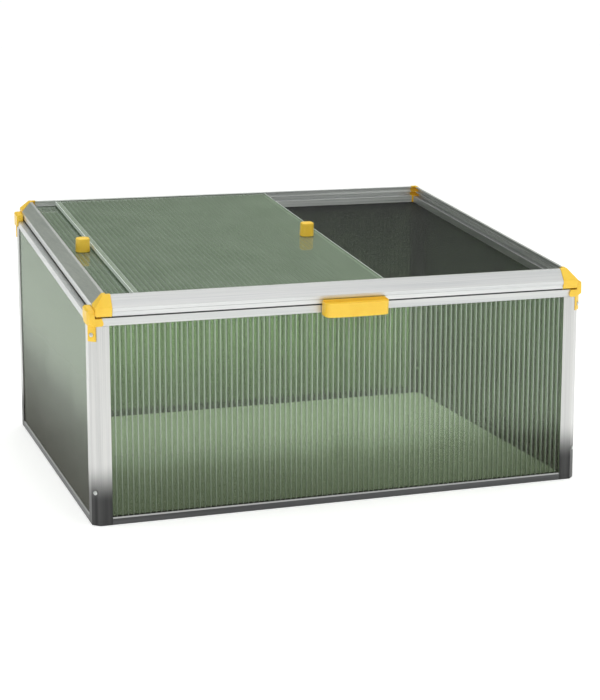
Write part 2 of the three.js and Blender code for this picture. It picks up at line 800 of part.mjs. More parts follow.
// The handle's curved band in plan, its outer side at the given inset from the outside.
function bandEdge(inset) {
  const { width: w, depth: d, corner: r, bow } = handle;
  const half = w / 2 - inset;
  const front = -(d - inset);
  const round = r - inset;
  return { half, front, round, bow };
}

// The front edge of the band in plan, from its left end to its right end.
function bandCurve(path, { half, front, round, bow }) {
  path.lineTo(-half, front + round);
  path.quadraticCurveTo(-half, front, -half + round, front);
  path.quadraticCurveTo(0, front - bow, half - round, front);
  path.quadraticCurveTo(half, front, half, front + round);
  path.lineTo(half, 0);
}

function bandPlan(inset) {
  const edge = bandEdge(inset);
  const plan = new THREE.Shape();
  plan.moveTo(-edge.half, 0);
  bandCurve(plan, edge);
  return plan;
}

// The lugs that hold the handle: each passes through the profile's outer wall and hooks up behind it.
function handleLugs(back) {
  const { spread, width: across, height, hook } = handleLug;
  const level = [lidBottom + wall + gap, lidBottom + wall + gap + height];
  const inside = lidFront + wall + gap;
  return [-1, 1].flatMap((side) => {
    const x = [handle.centre + side * spread - across / 2, handle.centre + side * spread + across / 2];
    const neck = box(x, [back - 1, inside + hook], level);
    const catchUp = box(x, [inside, inside + hook], [level[0] + 1, level[1] + hook]);
    return [neck, catchUp];
  });
}

// The slots that they pass through.
function handleSlots() {
  const { spread, width: across, height, hook } = handleLug;
  const level = [lidBottom + wall, lidBottom + wall + height + hook + 2 * gap];
  return [-1, 1].map((side) => {
    const middle = handle.centre + side * spread;
    const x = [middle - across / 2 - gap, middle + across / 2 + gap];
    return box(x, [lidFront - 1, lidFront + wall + 0.1], level);
  });
}

// A pull that hangs in front of the top rail: an apron and a top, open below for the fingers.
function addHandle() {
  const back = lidFront - gap; // against the lid's front face, under the bead
  const plateFront = back - handle.thickness;
  const bottom = -handle.drop;
  const top = bottom + handle.height;
  const outside = prism(bandPlan(0), bottom, top).translate(handle.centre, back, 0);
  const inside = prism(bandPlan(handle.thickness), bottom - 1, top - handle.thickness);
  const fingers = inside.translate(handle.centre, back + 1, 0);
  const shell = cut(solid(outside), fingers);
  const half = handle.width / 2 - 1;
  const plateTop = bead.from - gap;
  const plate = box([handle.centre - half, handle.centre + half], [plateFront, back], [lidBottom, plateTop]);
  piece(roof, "handle", joined(plate, ...handleLugs(back)).add(shell), yellowPlastic);
}

// ---- Assembly ----

for (const corner of corners) {
  addPost(corner);
  addBracket(corner);
  addWallScrew(corner, corner.wallTop - topScrewDrop, coverFar - gap, true, "_top");
  addWallScrew(corner, lowScrewHeight, chamferFar - gap, false, "_low");
  addCap(corner);
}
addFrontAndRearRails();
addSideRails();
addWallSheets();
addLidProfiles();
addSlidingSheets();
addNet();
addSeals();
addHandle();

const extent = new THREE.Box3().setFromObject(coldFrame);
const centre = extent.getCenter(new THREE.Vector3());
for (const group of [walls, roof]) {
  group.position.x -= centre.x;
  group.position.y -= centre.y;
}

export default coldFrame;
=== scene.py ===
"""Looks of an aluminium cold frame.

Its walls are twin-wall sheet, and its hinged lid holds an insect net under two sliding roof sheets.
"""

import logging
import math
from dataclasses import dataclass
from enum import Enum
from typing import Callable, Sequence

import bmesh
import bpy
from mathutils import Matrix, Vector


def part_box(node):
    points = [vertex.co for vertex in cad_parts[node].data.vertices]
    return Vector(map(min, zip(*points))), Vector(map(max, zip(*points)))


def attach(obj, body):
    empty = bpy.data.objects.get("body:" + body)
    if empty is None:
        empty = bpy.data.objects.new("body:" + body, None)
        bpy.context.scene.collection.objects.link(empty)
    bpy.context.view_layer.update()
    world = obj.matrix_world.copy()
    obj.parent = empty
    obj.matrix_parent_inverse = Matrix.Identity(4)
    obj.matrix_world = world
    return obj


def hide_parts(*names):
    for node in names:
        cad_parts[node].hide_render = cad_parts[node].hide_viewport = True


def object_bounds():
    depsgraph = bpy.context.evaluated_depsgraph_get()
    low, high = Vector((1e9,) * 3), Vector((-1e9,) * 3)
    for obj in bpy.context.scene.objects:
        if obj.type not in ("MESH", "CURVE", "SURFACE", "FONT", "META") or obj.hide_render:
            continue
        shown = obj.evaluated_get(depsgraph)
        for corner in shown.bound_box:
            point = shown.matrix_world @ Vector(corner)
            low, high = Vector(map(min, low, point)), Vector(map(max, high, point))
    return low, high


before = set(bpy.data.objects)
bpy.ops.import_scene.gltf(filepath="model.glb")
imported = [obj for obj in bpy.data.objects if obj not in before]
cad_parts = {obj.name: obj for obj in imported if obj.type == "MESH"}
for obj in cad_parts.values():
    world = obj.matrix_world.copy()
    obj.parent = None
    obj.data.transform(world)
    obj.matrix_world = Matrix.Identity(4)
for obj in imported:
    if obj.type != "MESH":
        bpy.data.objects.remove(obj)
CAD_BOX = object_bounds()

LOG = logging.getLogger("cold_frame")
MM = 0.001
FLAT_ANGLE = math.radians(1.0)
EDGE_ANGLE = math.radians(28.0)
WELD = 0.01 * MM
CORNERS = ("front_left", "front_right", "rear_left", "rear_right")

Triple = tuple[float, float, float]
Colour = Triple
SocketValue = object


# ---------------------------------------------------------------- shader maths


class Wire:
    """A node socket that can stand in a Python expression."""

    def __init__(self, bench: "Bench", socket: bpy.types.NodeSocket) -> None:
        """Keeps the socket and the bench whose tree it belongs to."""
        self.bench = bench
        self.socket = socket

    def _math(self, operation: str, *values: SocketValue) -> "Wire":
        """Adds one Math node on these values."""
        return self.bench.node("ShaderNodeMath", {"operation": operation}, dict(enumerate(values)))

    def __add__(self, other: SocketValue) -> "Wire":
        """Adds a number or a wire."""
        return self._math("ADD", self, other)

    __radd__ = __add__

    def __sub__(self, other: SocketValue) -> "Wire":
        """Takes a number or a wire away."""
        return self._math("SUBTRACT", self, other)

    def __rsub__(self, other: SocketValue) -> "Wire":
        """Takes this wire away from a number."""
        return self._math("SUBTRACT", other, self)

    def __mul__(self, other: SocketValue) -> "Wire":
        """Multiplies by a number or a wire."""
        return self._math("MULTIPLY", self, other)

    __rmul__ = __mul__

    def __truediv__(self, other: SocketValue) -> "Wire":
        """Divides by a number or a wire."""
        return self._math("DIVIDE", self, other)

    def __pow__(self, other: SocketValue) -> "Wire":
        """Raises to a power."""
        return self._math("POWER", self, other)

    def __abs__(self) -> "Wire":
        """Drops the sign."""
        return self._math("ABSOLUTE", self)

    def __lt__(self, other: SocketValue) -> "Wire":
        """Gives 1 where this wire is the smaller one, and 0 elsewhere."""
        return self._math("LESS_THAN", self, other)

    def wave(self) -> "Wire":
        """Gives the sine."""
        return self._math("SINE", self)

    def fraction(self) -> "Wire":
        """Gives the part after the point."""
        return self._math("FRACT", self)


class Bench:
    """The node tree of one material or of the surroundings."""

    def __init__(self, tree: bpy.types.NodeTree) -> None:
        """Empties the tree."""
        self.tree = tree
        self.tree.nodes.clear()

    def node(
        self,
        kind: str,
        settings: dict[str, object] | None = None,
        values: dict[str | int, SocketValue] | None = None,
        out: str | int = 0,
    ) -> Wire:
        """Adds a node.

        Args:
            kind: the node's type.
            settings: properties that are set first; stops fills a colour ramp.
            values: numbers, colours or wires for its inputs.
            out: the output that is wanted.

        Returns:
            The wire from that output.
        """
        made = self.tree.nodes.new(kind)
        for key, value in (settings or {}).items():
            if key == "stops":
                self._fill_ramp(made.color_ramp, value)
            else:
                setattr(made, key, value)
        for key, value in (values or {}).items():
            self._feed(made.inputs[key], value)
        return Wire(self, made.outputs[out]) if made.outputs else Wire(self, made.inputs[0])

    def _feed(self, socket: bpy.types.NodeSocket, value: SocketValue) -> None:
        """Links a wire to the socket, or sets its value.

        Args:
            socket: the input.
            value: a wire, a colour, a vector or a number.
        """
        if isinstance(value, Wire):
            self.tree.links.new(value.socket, socket)
        elif isinstance(value, tuple) and socket.type == "RGBA":
            socket.default_value = (*value, 1.0)
        else:
            socket.default_value = value

    @staticmethod
    def _fill_ramp(ramp: bpy.types.ColorRamp, stops: Sequence[tuple[float, Colour]]) -> None:
        """Sets a colour ramp's stops.

        Args:
            ramp: the ramp.
            stops: each stop's position and colour, in order.
        """
        while len(ramp.elements) < len(stops):
            ramp.elements.new(1.0)
        for element, (position, colour) in zip(ramp.elements, stops):
            element.position = position
            element.color = (*colour, 1.0)

    def place(self) -> Wire:
        """Gives the point on the piece, in metres."""
        return self.node("ShaderNodeTexCoord", out="Object")

    def axis(self, vector: Wire, name: str) -> Wire:
        """Gives one part of a vector."""
        return self.node("ShaderNodeSeparateXYZ", values={0: vector}, out=name)

    def facing_axis(self, name: str) -> Wire:
        """Gives how far the surface looks along an axis of the piece, either way."""
        normal = self.node("ShaderNodeTexCoord", out="Normal")
        return abs(self.axis(normal, name))

    def noise(self, scale: Triple, detail: float = 3.0, roughness: float = 0.55) -> Wire:
        """Adds noise from 0 to 1.

        Args:
            scale: its grain per metre along X, Y and Z.
            detail: how many finer layers it has.
            roughness: how strong those are.

        Returns:
            The wire of its value.
        """
        stretched = self.node(
            "ShaderNodeVectorMath", {"operation": "MULTIPLY"}, {0: self.place(), 1: scale}
        )
        return self.node(
            "ShaderNodeTexNoise",
            {"noise_dimensions": "3D"},
            {"Vector": stretched, "Scale": 1.0, "Detail": detail, "Roughness": roughness},
        )

    def ramp(self, value: Wire, start: float, end: float) -> Wire:
        """Gives a soft step.

        Args:
            value: the wire that is measured.
            start: where the step leaves 0.
            end: where it reaches 1.

        Returns:
            The step's wire.
        """
        return self.node(
            "ShaderNodeMapRange",
            {"interpolation_type": "SMOOTHSTEP"},
            {"Value": value, "From Min": start, "From Max": end},
        )

    def blend(self, share: SocketValue, low: SocketValue, high: SocketValue) -> Wire:
        """Mixes two colours: low at share 0 and high at share 1."""
        return self.node("ShaderNodeMix", {"data_type": "RGBA"}, {0: share, 6: low, 7: high}, 2)

    def bump(self, height: Wire, depth: float) -> Wire:
        """Gives a normal from a height of 0 to 1 that stands for this depth in metres."""
        return self.node("ShaderNodeBump", values={"Strength": 1.0, "Distance": depth, "Height": height})

    def solid(self, **sockets: SocketValue) -> Wire:
        """Adds a Principled shader; an underscore in a name stands for a space."""
        values = {name.replace("_", " "): value for name, value in sockets.items()}
        return self.node("ShaderNodeBsdfPrincipled", values=values)

    def show(self, shader: Wire) -> None:
        """Ends the tree with this shader."""
        self.node("ShaderNodeOutputMaterial", values={"Surface": shader})


def new_bench(name: str) -> tuple[bpy.types.Material, Bench]:
    """Makes an empty material and its bench.

    Args:
        name: the material's name.

    Returns:
        The material and the bench of its node tree.
    """
    material = bpy.data.materials.new(name)
    material.use_nodes = True
    return material, Bench(material.node_tree)


# ---------------------------------------------------------------- finishes


class Draw(Enum):
    """Which way a bar was drawn through its die, as the grain of its noise per metre along X, Y and Z."""

    ALONG_X = (3.0, 700.0, 700.0)
    ALONG_Y = (700.0, 3.0, 700.0)
    ALONG_Z = (700.0, 700.0, 3.0)


@dataclass(frozen=True)
class DrawnAluminium:
    """Mill-finish aluminium bar with die lines; low pieces carry a painted reflection of dark ground, a
    darker, duller band near the ground.
    """

    name: str
    draw: Draw
    colour: Colour = (0.72, 0.72, 0.715)
    shade: Colour = (0.56, 0.57, 0.58)
    metallic: float = 0.92
    roughness: float = 0.30
    line_roughness: float = 0.12
    cloud_roughness: float = 0.10
    cloud_grain: float = 9.0
    broad_grain: float = 0.12
    line_share: float = 0.6
    streak_from: float = 0.3
    streak_to: float = 0.7
    line_depth: float = 0.05 * MM
    # Painted reflection of the dark ground near the bar: its colour, reach and strength.
    ground_reflection: Colour = (0.045, 0.045, 0.048)
    ground_reflection_from: float = 0.0
    ground_reflection_to: float = 0.0
    ground_reflection_waver: float = 12 * MM
    ground_reflection_dulling: float = 0.8
    ground_reflection_roughness: float = 0.12
    ground_reflection_fullness: float = 0.97
    ground_reflection_streaks: float = 0.2
    sky_facing_share: float = 0.7
    sky_facing_from: float = 0.15
    sky_facing_to: float = 0.5
    flute_pitch: float = 0.0
    flute_depth: float = 0.16 * MM
    flute_share: float = 0.7

    def build(self) -> bpy.types.Material:
        """Makes the material.

        Returns:
            The finished material.
        """
        material, bench = new_bench(self.name)
        lines = bench.noise(self.draw.value, 4.0, 0.65)
        broad = bench.noise(tuple(self.broad_grain * grain + 1.0 for grain in self.draw.value), 2.0)
        clouds = bench.noise((self.cloud_grain,) * 3)
        share = self.line_share * lines + (1 - self.line_share) * broad
        streaks = bench.ramp(share, self.streak_from, self.streak_to)
        metal = bench.blend(streaks, self.shade, self.colour)
        metallic: SocketValue = self.metallic
        rough = self.roughness + self.line_roughness * (lines - 0.5)
        rough = rough + self.cloud_roughness * (clouds - 0.5)
        # Painted reflection of the dark ground: darker, less metallic and rougher near the ground, less
        # on faces that look upward.
        if self.ground_reflection_to > 0:
            ground_reflection = self.ground_reflection_cover(bench, broad, clouds)
            metal = bench.blend(ground_reflection, metal, self.ground_reflection)
            metallic = self.metallic - self.ground_reflection_dulling * ground_reflection
            rough = rough + self.ground_reflection_roughness * ground_reflection
        relief = bench.bump(lines, self.line_depth)
        if self.flute_pitch > 0:
            height = (1 - self.flute_share) * lines + self.flute_share * self.flutes(bench)
            relief = bench.bump(height, self.flute_depth)
        bench.show(bench.solid(Base_Color=metal, Metallic=metallic, Roughness=rough, Normal=relief))
        return material

    def ground_reflection_cover(self, bench: Bench, broad: Wire, clouds: Wire) -> Wire:
        """Gives the share of the painted reflection of dark ground: full near the ground, less on faces
        that look upward.

        Args:
            bench: the material's bench.
            broad: the broad streaks.
            clouds: the clouds that make its upper edge uneven.

        Returns:
            The share of painted ground reflection, from 0 to 1.
        """
        height = bench.axis(bench.place(), "Z") + (clouds - 0.5) * self.ground_reflection_waver
        low = 1 - bench.ramp(height, self.ground_reflection_from, self.ground_reflection_to)
        upward = bench.axis(bench.node("ShaderNodeTexCoord", out="Normal"), "Z")
        sky_facing_cut = 1 - self.sky_facing_share * bench.ramp(upward, self.sky_facing_from, self.sky_facing_to)
        return low * sky_facing_cut * (self.ground_reflection_fullness + self.ground_reflection_streaks * (broad - 0.5))

    def flutes(self, bench: Bench) -> Wire:
        """Gives the shallow flutes of a post, across X on its front and rear and across Y on its sides.

        Args:
            bench: the material's bench.

        Returns:
            Their height, from 0 to 1.
        """
        turn = 2 * math.pi / self.flute_pitch
        place = bench.place()
        on_front = (bench.axis(place, "X") * turn).wave() * bench.facing_axis("Y")
        on_side = (bench.axis(place, "Y") * turn).wave() * bench.facing_axis("X")
        return 0.5 + 0.5 * (on_front + on_side)


@dataclass(frozen=True)
class TwinWall:
    """Clear double-skinned plastic sheet.

    Each skin lets most light through, mirrors at a shallow angle and is faintly milky. The ribs show
    as light lines, and the sheet can be made darker, milkier and less mirroring towards the bottom.
    """

    name: str
    rib_axis: str
    rib_start: float
    rib_end: float
    rib_line: float = 2.2 * MM
    rib_line_haze: float = 0.26
    rib_line_dulling: float = 0.5
    cell_pitch: float = 11 * MM
    tint: Colour = (0.79, 0.85, 0.745)
    body: Colour = (0.50, 0.57, 0.47)
    edge: Colour = (0.80, 0.85, 0.82)
    shine: Colour = (0.52, 0.55, 0.52)
    cloud_grain: Triple = (14.0, 14.0, 5.0)
    haze: float = 0.035
    haze_clouds: float = 0.6
    rib_haze: float = 0.22
    roughness: float = 0.45
    cloud_roughness: float = 0.2
    bottom_dark: Colour = (0.07, 0.065, 0.055)
    bottom_dark_top: float = 0.0
    bottom_dark_haze: float = 0.0
    bottom_dark_dulling: float = 0.85
    bottom_dark_strength: float = 1.7
    bottom_dark_waver: float = 50 * MM
    head_on_mirror: float = 0.04
    mirror_power: float = 5.0
    gloss: float = 0.05
    edges_at: tuple[float, ...] = ()
    edge_width: float = 1.6 * MM
    edge_haze: float = 0.55
    trim_at: float | None = None
    trim_width: float = 11 * MM
    trim_haze: float = 0.22

    def build(self) -> bpy.types.Material:
        """Makes the material.

        Returns:
            The finished material.
        """
        material, bench = new_bench(self.name)
        clouds = bench.noise(self.cloud_grain, 4.0)
        ribs = bench.facing_axis(self.rib_axis)
        line = self.rib_lines(bench)
        sideways = bench.node("ShaderNodeLayerWeight", values={"Blend": 0.5}, out="Facing")
        mirror = self.head_on_mirror + (1 - self.head_on_mirror) * sideways**self.mirror_power
        milk = self.haze * (1 + self.haze_clouds * (clouds - 0.5)) + self.rib_haze * ribs
        colour = bench.blend(clouds, self.body, self.tint)
        # Darker, milkier and less mirroring towards the bottom.
        if self.bottom_dark_top > 0:
            height = bench.axis(bench.place(), "Z") + (clouds - 0.5) * self.bottom_dark_waver
            bottom_dark = 1 - bench.ramp(height, 0.0, self.bottom_dark_top)
            dulled = 1 - self.bottom_dark_dulling * bottom_dark
            milk = milk + self.bottom_dark_haze * bottom_dark
            mirror = mirror * dulled
            line = line * dulled
            colour = bench.blend(self.bottom_dark_strength * bottom_dark, colour, self.bottom_dark)
        milk = milk + self.rib_line_haze * line
        mirror = mirror * (1 - self.rib_line_dulling * line)
        bright = ribs + line
        across = bench.axis(bench.place(), "X")
        for edge in self.edges_at:
            rim = abs(across - edge) < self.edge_width
            milk = milk + self.edge_haze * rim
            bright = bright + rim
        if self.trim_at is not None:
            milk = milk + self.trim_haze * (abs(across - self.trim_at) < self.trim_width)
        body = bench.solid(
            Base_Color=bench.blend(bright, colour, self.edge),
            Roughness=self.roughness + self.cloud_roughness * (clouds - 0.5),
            Specular_IOR_Level=0.0,
        )
        clear = bench.node("ShaderNodeBsdfTransparent", values={"Color": self.tint})
        skin = bench.node("ShaderNodeMixShader", values={0: milk, 1: clear, 2: body})
        shine = bench.node("ShaderNodeBsdfGlossy", values={"Color": self.shine, "Roughness": self.gloss})
        bench.show(bench.node("ShaderNodeMixShader", values={0: mirror, 1: skin, 2: shine}))
        return material

    def rib_lines(self, bench: Bench) -> Wire:
        """Finds the ribs, whose roots show as light lines in the skins.

        Args:
            bench: the material's bench.

        Returns:
            1 over a rib and 0 elsewhere.
        """
        length = self.rib_end - self.rib_start
        pitch = length / round(length / self.cell_pitch)
        along = bench.axis(bench.place(), self.rib_axis)
        cell = ((along - self.rib_start) / pitch + 0.5).fraction()
        return abs(cell - 0.5) < self.rib_line / pitch / 2


@dataclass(frozen=True)
class MouldedPlastic:
    """Coloured plastic from a lightly grained mould."""

    name: str
    colour: Colour
    deep: Colour
    roughness: float = 0.36
    grain: float = 1600.0
    grain_depth: float = 0.035 * MM
    flow_grain: float = 28.0
    flow_roughness: float = 0.14
    grain_roughness: float = 0.10
    glow_share: float = 0.08
    glow_reach: Triple = (4 * MM, 2.5 * MM, 0.6 * MM)

    def build(self) -> bpy.types.Material:
        """Makes the material.

        Returns:
            The finished material.
        """
        material, bench = new_bench(self.name)
        grain = bench.noise((self.grain,) * 3, 2.0)
        flow = bench.noise((self.flow_grain,) * 3)
        rough = self.roughness + self.flow_roughness * (flow - 0.5) + self.grain_roughness * (grain - 0.5)
        bench.show(
            bench.solid(
                Base_Color=bench.blend(bench.ramp(flow, 0.25, 0.75), self.deep, self.colour),
                Roughness=rough,
                Subsurface_Weight=self.glow_share,
                Subsurface_Radius=self.glow_reach,
                Normal=bench.bump(grain, self.grain_depth),
            )
        )
        return material


@dataclass(frozen=True)
class ZincPlate:
    """Bright zinc plating on steel, a little cloudy."""

    name: str
    colour: Colour = (0.70, 0.72, 0.74)
    cloud: Colour = (0.52, 0.53, 0.50)
    roughness: float = 0.22
    cloud_grain: float = 420.0
    cloud_roughness: float = 0.22
    cloud_depth: float = 0.03 * MM

    def build(self) -> bpy.types.Material:
        """Makes the material.

        Returns:
            The finished material.
        """
        material, bench = new_bench(self.name)
        cloud = bench.noise((self.cloud_grain,) * 3, 4.0)
        bench.show(
            bench.solid(
                Base_Color=bench.blend(cloud, self.cloud, self.colour),
                Metallic=1.0,
                Roughness=self.roughness + self.cloud_roughness * cloud,
                Normal=bench.bump(cloud, self.cloud_depth),
            )
        )
        return material


@dataclass(frozen=True)
class DarkPolymer:
    """Black rubber or black thread, matt and slightly uneven."""

    name: str
    colour: Colour
    worn: Colour
    roughness: float
    grain: float = 500.0
    grain_roughness: float = 0.2
    grain_depth: float = 0.05 * MM

    def build(self) -> bpy.types.Material:
        """Makes the material.

        Returns:
            The finished material.
        """
        material, bench = new_bench(self.name)
        grain = bench.noise((self.grain,) * 3)
        bench.show(
            bench.solid(
                Base_Color=bench.blend(bench.ramp(grain, 0.35, 0.8), self.colour, self.worn),
                Roughness=self.roughness + self.grain_roughness * (grain - 0.5),
                Normal=bench.bump(grain, self.grain_depth),
            )
        )
        return material


@dataclass(frozen=True)
class StudioPaint:
    """Pale matt floor paint with a little light of its own."""

    name: str
    colour: Colour = (0.965, 0.965, 0.965)
    mottle: Colour = (0.9505, 0.9505, 0.9505)
    mottle_grain: float = 1.5
    mottle_roughness: float = 0.1
    roughness: float = 0.75
    glow: float = 0.38

    def build(self) -> bpy.types.Material:
        """Makes the material.

        Returns:
            The finished material.
        """
        material, bench = new_bench(self.name)
        mottle = bench.noise((self.mottle_grain,) * 3)
        bench.show(
            bench.solid(
                Base_Color=bench.blend(mottle, self.mottle, self.colour),
                Roughness=self.roughness + self.mottle_roughness * mottle,
                Specular_IOR_Level=0.2,
                Emission_Color=(1.0, 1.0, 1.0),
                Emission_Strength=self.glow,
            )
        )
        return material


# ---------------------------------------------------------------- mesh work


def linked(name: str, mesh: bpy.types.Mesh) -> bpy.types.Object:
    """Puts a mesh in the scene.

    Args:
        name: the object's name.
        mesh: its mesh.

    Returns:
        The new object.
    """
    obj = bpy.data.objects.new(name, mesh)
    bpy.context.scene.collection.objects.link(obj)
    return obj


def object_from(name: str, shape: bmesh.types.BMesh, smooth: bool = True) -> bpy.types.Object:
    """Turns a worked shape into an object.

    Args:
        name: the object's name.
        shape: the shape, which is freed here.
        smooth: whether its faces are shaded smooth between sharp edges.

    Returns:
        The new object.
    """
    bmesh.ops.recalc_face_normals(shape, faces=shape.faces)
    mesh = bpy.data.meshes.new(name)
    shape.to_mesh(mesh)
    shape.free()
    if smooth:
        mesh.shade_smooth()
        mesh.set_sharp_from_angle(angle=EDGE_ANGLE)
    return linked(name, mesh)


def settled(obj: bpy.types.Object) -> bpy.types.Object:
    """Replaces an object's mesh by what its modifiers make of it, and drops them.

    Args:
        obj: the object.

    Returns:
        The same object.
    """
    graph = bpy.context.evaluated_depsgraph_get()
    mesh = bpy.data.meshes.new_from_object(obj.evaluated_get(graph))
    obj.modifiers.clear()
    obj.data = mesh
    return obj


def softened(
    node: str,
    edge: float,
    segments: int = 2,
    shaping: Callable[[bmesh.types.BMesh], None] | None = None,
) -> bpy.types.Object:
    """Copies a CAD solid, merges its flats and breaks its sharp edges.

    Args:
        node: the CAD node.
        edge: how far the broken edge reaches into each face, in metres.
        segments: how many strips round the edge.
        shaping: further work on the shape before its edges are broken.

    Returns:
        The copy, named after the node.
    """
    shape = bmesh.new()
    shape.from_mesh(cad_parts[node].data)
    bmesh.ops.remove_doubles(shape, verts=shape.verts, dist=WELD)
    bmesh.ops.dissolve_limit(
        shape, angle_limit=FLAT_ANGLE, verts=shape.verts, edges=shape.edges, delimit=set()
    )
    shape.normal_update()
    if shaping:
        shaping(shape)
    obj = object_from(f"{node}_finished", shape)
    bevel = obj.modifiers.new("edges", "BEVEL")
    bevel.width = edge
    bevel.segments = segments
    bevel.limit_method = "ANGLE"
    bevel.angle_limit = EDGE_ANGLE
    bevel.use_clamp_overlap = True
    bevel.harden_normals = True
    return settled(obj)


def lofted(shape: bmesh.types.BMesh, rings: Sequence[Sequence[Vector]]) -> None:
    """Skins a stack of closed rings and closes both ends.

    Args:
        shape: the shape that receives the faces.
        rings: the rings, all with the same number of points.
    """
    rows = [[shape.verts.new(point) for point in ring] for ring in rings]
    count = len(rows[0])
    for low, high in zip(rows, rows[1:]):
        for index in range(count):
            following = (index + 1) % count
            shape.faces.new((low[index], low[following], high[following], high[index]))
    shape.faces.new(list(reversed(rows[0])))
    shape.faces.new(rows[-1])


@dataclass(frozen=True)
class Axes:
    """A set of three square axes with an origin."""

    origin: Vector
    across: Vector
    along: Vector
    out: Vector

    def point(self, across: float, along: float, out: float) -> Vector:
        """Gives the point at these distances."""
        return self.origin + self.across * across + self.along * along + self.out * out

    def extent(self, node: str) -> tuple[Vector, Vector]:
        """Measures a CAD node along the three axes.

        Args:
            node: the CAD node.

        Returns:
            Its lowest and highest values.
        """
        low = Vector((math.inf,) * 3)
        high = Vector((-math.inf,) * 3)
        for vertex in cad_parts[node].data.vertices:
            reach = vertex.co - self.origin
            local = (reach.dot(self.across), reach.dot(self.along), reach.dot(self.out))
            low = Vector(map(min, low, local))
            high = Vector(map(max, high, local))
        return low, high


def roof_axes() -> Axes:
    """Finds the lid's plane from the underside of the net.

    Returns:
        Axes across the lid, up its slope and out of it.
    """
    points = [vertex.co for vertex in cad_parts["insect_net"].data.vertices]
    front_edge = min(point.y for point in points)
    rear_edge = max(point.y for point in points)
    front = min((p for p in points if p.y - front_edge < MM), key=lambda point: point.z)
    rear = min((p for p in points if rear_edge - p.y < MM), key=lambda point: point.z)
    across = Vector((1, 0, 0))
    along = Vector((0, rear.y - front.y, rear.z - front.z)).normalized()
    return Axes(Vector((0, front.y, front.z)), across, along, across.cross(along))


# ---------------------------------------------------------------- what every sub-assembly shares


@dataclass
class Finishes:
    """The materials of the whole cold frame."""

    bar_x: bpy.types.Material
    bar_y: bpy.types.Material
    bar_z: bpy.types.Material
    rear_bar: bpy.types.Material
    low_bar_x: bpy.types.Material
    low_bar_y: bpy.types.Material
    wall_x: bpy.types.Material
    wall_y: bpy.types.Material
    upper_roof: bpy.types.Material
    lower_roof: bpy.types.Material
    yellow: bpy.types.Material
    zinc: bpy.types.Material
    rubber: bpy.types.Material
    thread: bpy.types.Material

    @classmethod
    def mixed(cls) -> "Finishes":
        """Makes them all.

        Returns:
            The whole set.
        """
        yellow = MouldedPlastic("yellow_plastic", (0.92, 0.60, 0.055), (0.87, 0.53, 0.035))
        return cls(
            bar_x=DrawnAluminium("aluminium_bar_across", Draw.ALONG_X, roughness=0.42).build(),
            bar_y=DrawnAluminium("aluminium_bar_deep", Draw.ALONG_Y, roughness=0.42).build(),
            # Painted shade: the posts get a darker copy of the bar aluminium, with a darker painted
            # ground reflection low down.
            bar_z=DrawnAluminium(
                "aluminium_post_painted_darker",
                Draw.ALONG_Z,
                colour=(0.62, 0.615, 0.605),
                shade=(0.48, 0.48, 0.48),
                ground_reflection=(0.008, 0.008, 0.009),
                ground_reflection_from=45 * MM,
                ground_reflection_to=125 * MM,
                flute_pitch=9.0 * MM,
            ).build(),
            # Painted light: the lid's rear profile gets a lighter, rougher copy of the bar aluminium.
            rear_bar=DrawnAluminium(
                "aluminium_bar_rear_painted_lighter", Draw.ALONG_X, colour=(0.92, 0.92, 0.92), roughness=0.62
            ).build(),
            # The bottom rails carry the painted reflection of the dark ground up to 400 mm.
            low_bar_x=DrawnAluminium(
                "aluminium_ground_bar_across", Draw.ALONG_X, ground_reflection_from=4 * MM, ground_reflection_to=400 * MM
            ).build(),
            low_bar_y=DrawnAluminium(
                "aluminium_ground_bar_deep", Draw.ALONG_Y, ground_reflection_from=4 * MM, ground_reflection_to=400 * MM
            ).build(),
            wall_x=TwinWall(
                "twin_wall_front_rear",
                "X",
                *cls.ribbed("front_wall_sheet", "X"),
                bottom_dark_top=220 * MM,
                bottom_dark_haze=0.20,
            ).build(),
            wall_y=TwinWall(
                "twin_wall_sides",
                "Y",
                *cls.ribbed("left_wall_sheet", "Y"),
                rib_line_haze=0.12,
                bottom_dark=(0.09, 0.083, 0.07),
                bottom_dark_top=420 * MM,
                bottom_dark_haze=0.66,
            ).build(),
            upper_roof=cls.roof_sheet("upper"),
            lower_roof=cls.roof_sheet("lower"),
            yellow=yellow.build(),
            zinc=ZincPlate("zinc_plate").build(),
            rubber=DarkPolymer("black_rubber", (0.012, 0.012, 0.013), (0.04, 0.04, 0.04), 0.62).build(),
            thread=DarkPolymer("net_thread", (0.010, 0.011, 0.010), (0.03, 0.032, 0.03), 0.55).build(),
        )

    @staticmethod
    def ribbed(node: str, axis: str) -> tuple[float, float]:
        """Gives where a sheet's ribs start and end along an axis."""
        low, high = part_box(node)
        return getattr(low, axis.lower()), getattr(high, axis.lower())

    @staticmethod
    def roof_sheet(level: str) -> bpy.types.Material:
        """Makes a sliding sheet's finish, with bright cut edges and a stiffer first cell on its left.

        Args:
            level: upper or lower.

        Returns:
            The finished material.
        """
        low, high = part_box(f"{level}_sliding_sheet")
        return TwinWall(
            f"twin_wall_{level}_roof",
            "X",
            low.x,
            high.x,
            rib_line_haze=0.06,
            tint=(0.84, 0.89, 0.82),
            shine=(0.80, 0.84, 0.80),
            haze=0.08,
            rib_haze=0.35,
            edges_at=(low.x, high.x),
            trim_at=low.x,
        ).build()


def dressed(obj: bpy.types.Object, material: bpy.types.Material) -> None:
    """Gives the object one finish all over."""
    obj.data.materials.clear()
    obj.data.materials.append(material)


def kept(node: str, material: bpy.types.Material) -> None:
    """Keeps a CAD node's shape and finishes it.

    Args:
        node: the CAD node.
        material: its finish.
    """
    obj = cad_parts[node]
    dressed(obj, material)
    LOG.info("kept %s in %s", node, material.name)


